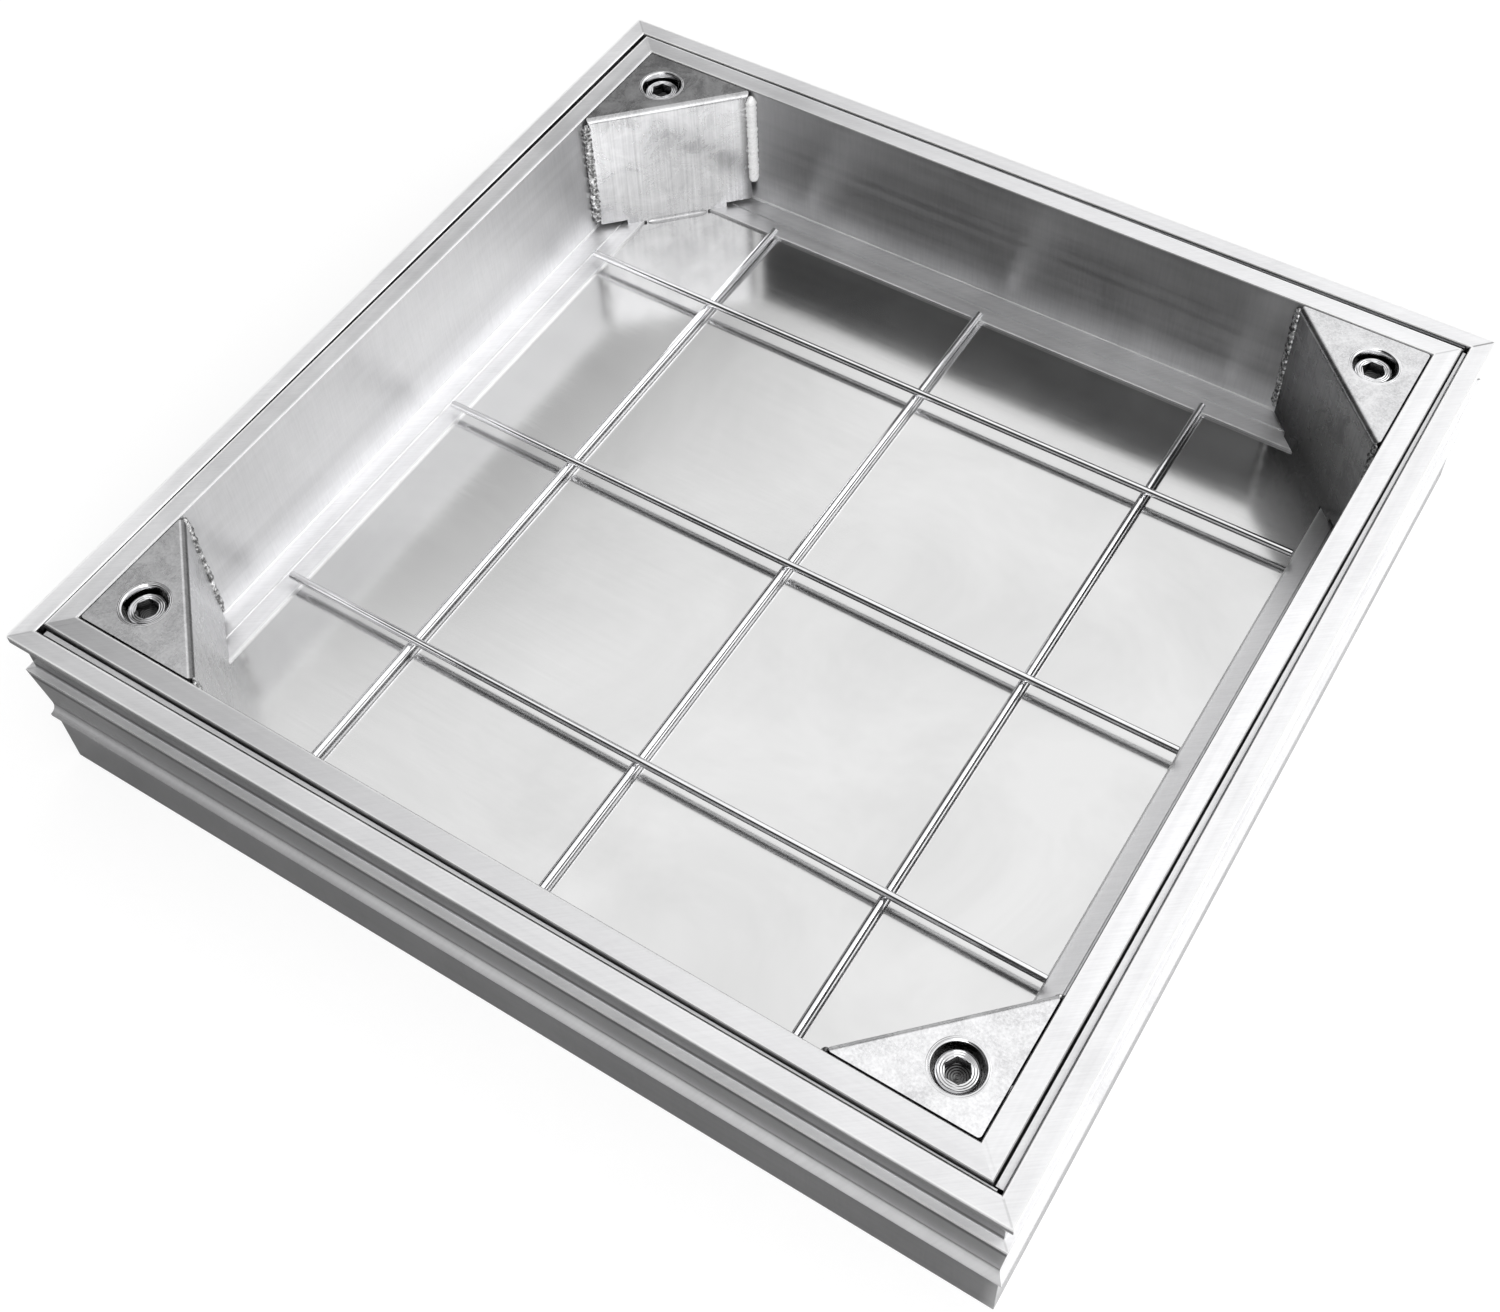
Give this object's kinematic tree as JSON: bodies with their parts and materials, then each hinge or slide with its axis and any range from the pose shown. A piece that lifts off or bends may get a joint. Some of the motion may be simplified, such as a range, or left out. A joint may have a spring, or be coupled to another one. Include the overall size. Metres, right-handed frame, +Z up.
{
  "type": "floor access cover",
  "caption": "Recessed square aluminium floor access cover: a mitred frame with a screwed-down tray that takes paving over a grid of rods.",
  "frame": {"origin": "middle of the frame's underside, which is the plane it rests on", "axes": "+Z up and out of the tray; +X along the front side, +Y from the front side to the back one; the near corner of the picture is front right"},
  "size_m": [0.5, 0.5, 0.1],
  "materials": {
    "frame_aluminium": "mill-finished extrusion, ground on top",
    "tray_aluminium": "mill-finished extrusion, ground on top",
    "plate_aluminium": "smooth rolled sheet, half mirror",
    "pocket_aluminium": "sanded sheet",
    "rod_steel": "bright drawn stainless rod",
    "cup_steel": "turned stainless",
    "screw_steel": "stainless screw",
    "seal_rubber": "matte black"
  },
  "bodies": {
    "root": {"frame_front": "frame_aluminium", "frame_right": "frame_aluminium", "frame_back": "frame_aluminium", "frame_left": "frame_aluminium", "tray_front": "tray_aluminium", "tray_right": "tray_aluminium", "tray_back": "tray_aluminium", "tray_left": "tray_aluminium", "base_plate": "plate_aluminium", "seal": "seal_rubber", "corner_pocket_front_left": "pocket_aluminium", "screw_cup_front_left": "cup_steel", "corner_block_front_left": "frame_aluminium", "corner_pocket_front_right": "pocket_aluminium", "screw_cup_front_right": "cup_steel", "corner_block_front_right": "frame_aluminium", "corner_pocket_back_right": "pocket_aluminium", "screw_cup_back_right": "cup_steel", "corner_block_back_right": "frame_aluminium", "corner_pocket_back_left": "pocket_aluminium", "screw_cup_back_left": "cup_steel", "corner_block_back_left": "frame_aluminium", "lower_rod_1": "rod_steel", "upper_rod_1": "rod_steel", "lower_rod_2": "rod_steel", "upper_rod_2": "rod_steel", "lower_rod_3": "rod_steel", "upper_rod_3": "rod_steel", "screws": "screw_steel"}
  },
  "joints": []
}
